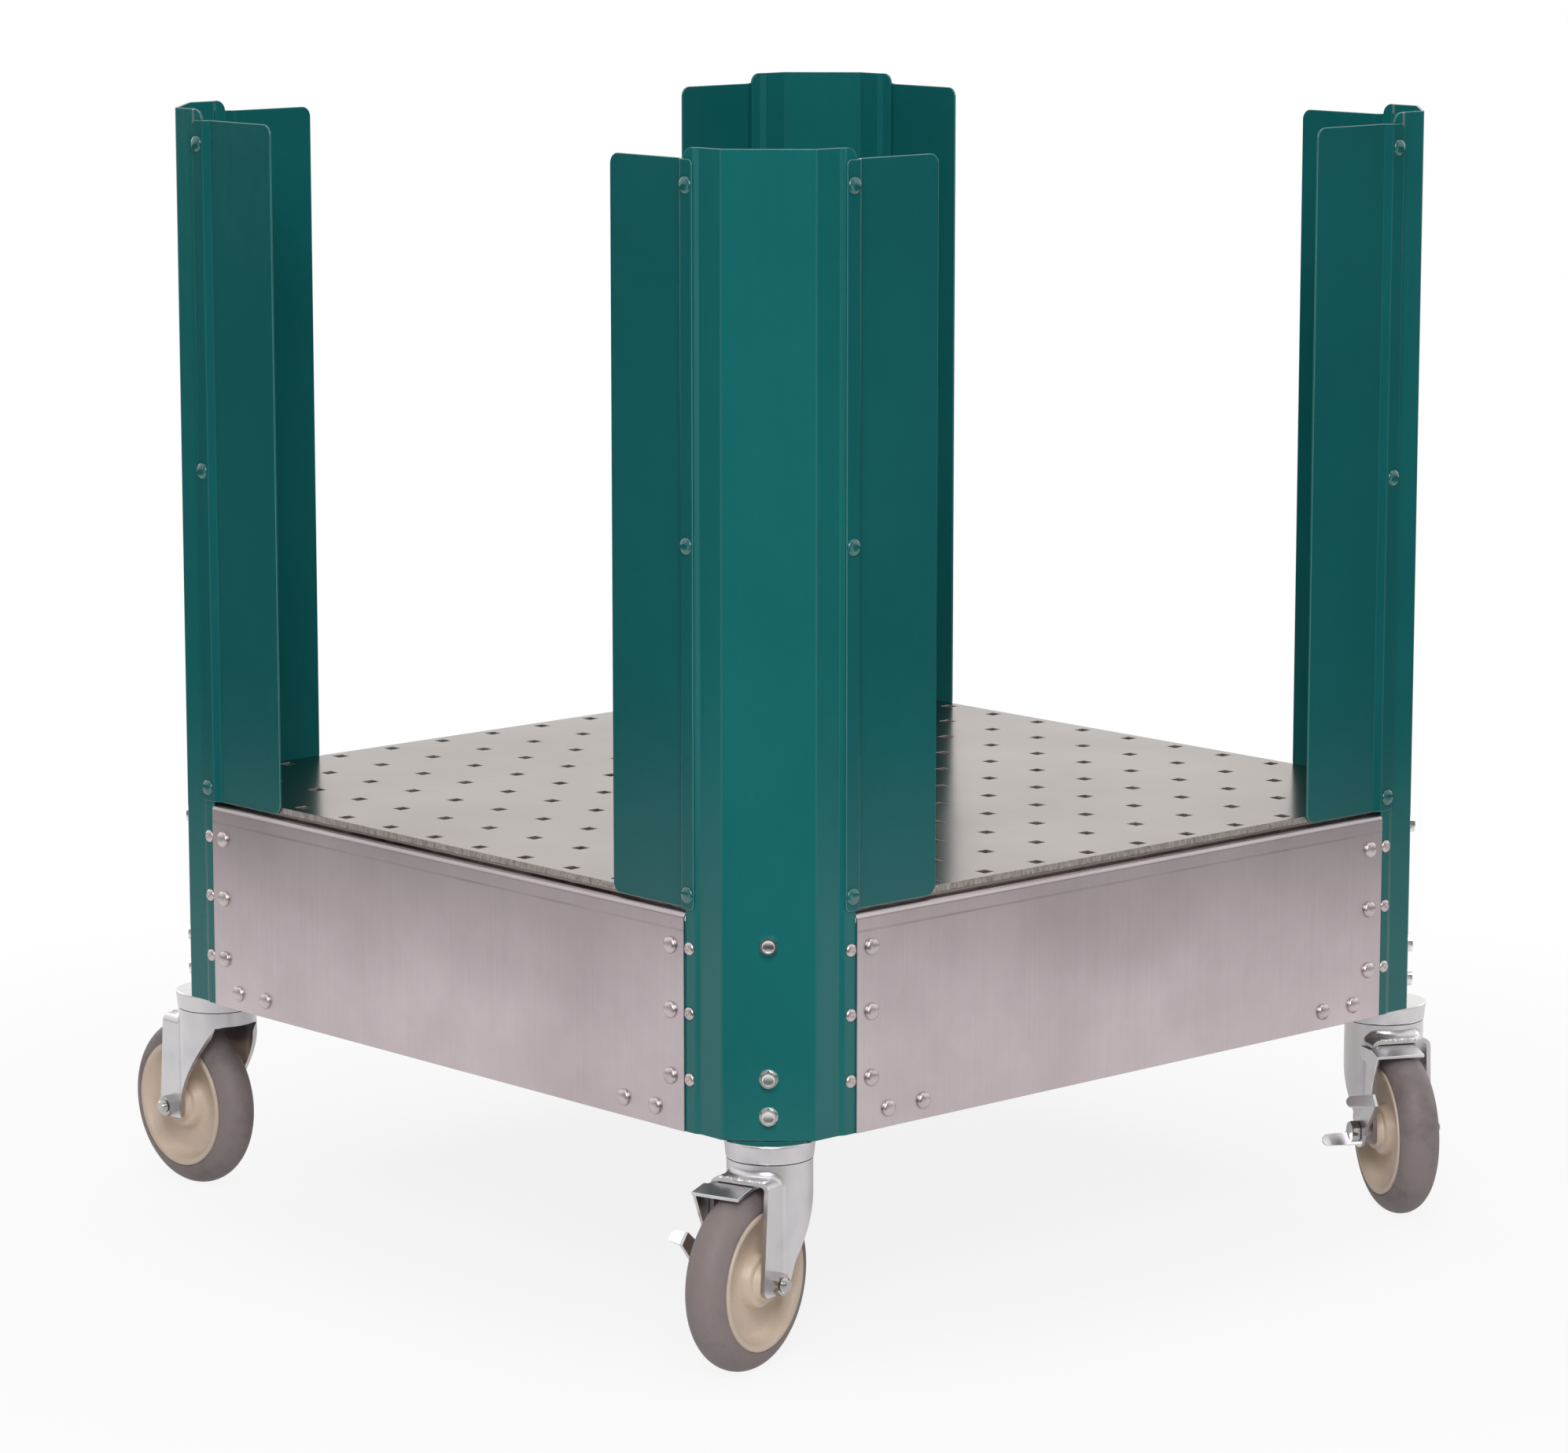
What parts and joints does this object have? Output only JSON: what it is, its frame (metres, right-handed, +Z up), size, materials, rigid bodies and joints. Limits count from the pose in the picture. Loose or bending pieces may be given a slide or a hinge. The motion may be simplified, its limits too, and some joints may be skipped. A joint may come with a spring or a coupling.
{
  "type": "dish dolly",
  "caption": "Square dish dolly: a low steel base with a perforated deck on swivel casters, painted corner posts with flat wings that keep stacks of plates in place, and foot brakes.",
  "frame": {"origin": "on the floor, under the middle of the base", "axes": "+Z up out of the deck, -Y out of the front panel and +X out of the right panel, the side whose two casters have brakes"},
  "size_m": [0.8038, 0.8089, 0.8258],
  "materials": {
    "green_paint": "gloss",
    "panel_steel": "fine vertical grain",
    "deck_steel": "bright brushed",
    "rivet_steel": "satin",
    "zinc_plate": "zinc plated, satin",
    "wheel_core": "moulded, matt",
    "tyre": "matt"
  },
  "bodies": {
    "base": {"deck_plate": "deck_steel", "deck_rim": "deck_steel", "deck_stiffener_1": "panel_steel", "deck_stiffener_2": "panel_steel", "front_left_bracket": "zinc_plate", "front_left_caster_head": "zinc_plate", "front_left_front_wing": "green_paint", "front_left_left_wing": "green_paint", "front_left_post": "green_paint", "front_left_stem_socket": "zinc_plate", "front_panel": "panel_steel", "front_right_bracket": "zinc_plate", "front_right_caster_head": "zinc_plate", "front_right_front_wing": "green_paint", "front_right_post": "green_paint", "front_right_right_wing": "green_paint", "front_right_stem_socket": "zinc_plate", "left_panel": "panel_steel", "panel_rivets": "rivet_steel", "post_bolts": "zinc_plate", "post_rivets": "rivet_steel", "rear_left_bracket": "zinc_plate", "rear_left_caster_head": "zinc_plate", "rear_left_left_wing": "green_paint", "rear_left_post": "green_paint", "rear_left_rear_wing": "green_paint", "rear_left_stem_socket": "zinc_plate", "rear_panel": "panel_steel", "rear_right_bracket": "zinc_plate", "rear_right_caster_head": "zinc_plate", "rear_right_post": "green_paint", "rear_right_rear_wing": "green_paint", "rear_right_right_wing": "green_paint", "rear_right_stem_socket": "zinc_plate", "right_panel": "panel_steel", "wing_rivets": "green_paint"},
    "front_right_caster": {"front_right_fork": "zinc_plate", "front_right_axle": "zinc_plate", "front_right_axle_sleeve": "zinc_plate"},
    "front_right_wheel_set": {"front_right_wheel": "wheel_core", "front_right_tyre": "tyre"},
    "front_right_lever": {"front_right_brake_lever": "zinc_plate"},
    "front_right_shoe": {"front_right_brake_shoe": "zinc_plate"},
    "rear_right_caster": {"rear_right_fork": "zinc_plate", "rear_right_axle": "zinc_plate", "rear_right_axle_sleeve": "zinc_plate"},
    "rear_right_wheel_set": {"rear_right_wheel": "wheel_core", "rear_right_tyre": "tyre"},
    "rear_right_lever": {"rear_right_brake_lever": "zinc_plate"},
    "rear_right_shoe": {"rear_right_brake_shoe": "zinc_plate"},
    "rear_left_caster": {"rear_left_fork": "zinc_plate", "rear_left_axle": "zinc_plate", "rear_left_axle_sleeve": "zinc_plate"},
    "rear_left_wheel_set": {"rear_left_wheel": "wheel_core", "rear_left_tyre": "tyre"},
    "front_left_caster": {"front_left_fork": "zinc_plate", "front_left_axle": "zinc_plate", "front_left_axle_sleeve": "zinc_plate"},
    "front_left_wheel_set": {"front_left_wheel": "wheel_core", "front_left_tyre": "tyre"}
  },
  "joints": [
    {"name": "front_right_swivel", "type": "hinge", "parent": "base", "child": "front_right_caster", "pos_m": [0.31283, -0.31283, 0.1568], "axis": [0, 0, 1], "continuous": true},
    {"name": "front_right_wheel_spin", "type": "hinge", "parent": "front_right_caster", "child": "front_right_wheel_set", "pos_m": [0.32106, -0.34189, 0.0635], "axis": [0.9622, 0.2723, 0], "continuous": true},
    {"name": "front_right_brake_press", "type": "hinge", "parent": "front_right_caster", "child": "front_right_lever", "pos_m": [0.32106, -0.34189, 0.0635], "axis": [0.9622, 0.2723, 0], "range_deg": [0, 30]},
    {"name": "front_right_shoe_rock", "type": "hinge", "parent": "front_right_caster", "child": "front_right_shoe", "pos_m": [0.31956, -0.3366, 0.1223], "axis": [0.9622, 0.2723, 0], "range_deg": [0, 3]},
    {"name": "rear_right_swivel", "type": "hinge", "parent": "base", "child": "rear_right_caster", "pos_m": [0.31283, 0.31283, 0.1568], "axis": [0, 0, 1], "continuous": true},
    {"name": "rear_right_wheel_spin", "type": "hinge", "parent": "rear_right_caster", "child": "rear_right_wheel_set", "pos_m": [0.33945, 0.29856, 0.0635], "axis": [0.4726, 0.8813, 0], "continuous": true},
    {"name": "rear_right_brake_press", "type": "hinge", "parent": "rear_right_caster", "child": "rear_right_lever", "pos_m": [0.33945, 0.29856, 0.0635], "axis": [0.4726, 0.8813, 0], "range_deg": [0, 30]},
    {"name": "rear_right_shoe_rock", "type": "hinge", "parent": "rear_right_caster", "child": "rear_right_shoe", "pos_m": [0.3346, 0.30116, 0.1223], "axis": [0.4726, 0.8813, 0], "range_deg": [0, 3]},
    {"name": "rear_left_swivel", "type": "hinge", "parent": "base", "child": "rear_left_caster", "pos_m": [-0.31283, 0.31283, 0.1568], "axis": [0, 0, 1], "continuous": true},
    {"name": "rear_left_wheel_spin", "type": "hinge", "parent": "rear_left_caster", "child": "rear_left_wheel_set", "pos_m": [-0.31808, 0.34258, 0.0635], "axis": [-0.9848, -0.1736, 0], "continuous": true},
    {"name": "front_left_swivel", "type": "hinge", "parent": "base", "child": "front_left_caster", "pos_m": [-0.31283, -0.31283, 0.1568], "axis": [0, 0, 1], "continuous": true},
    {"name": "front_left_wheel_spin", "type": "hinge", "parent": "front_left_caster", "child": "front_left_wheel_set", "pos_m": [-0.34303, -0.31315, 0.0635], "axis": [0.0105, -0.9999, 0], "continuous": true}
  ],
  "couplings": [
    {"joint": "front_right_shoe_rock", "follows": "front_right_brake_press", "ratio": 0.1},
    {"joint": "rear_right_shoe_rock", "follows": "rear_right_brake_press", "ratio": 0.1}
  ]
}
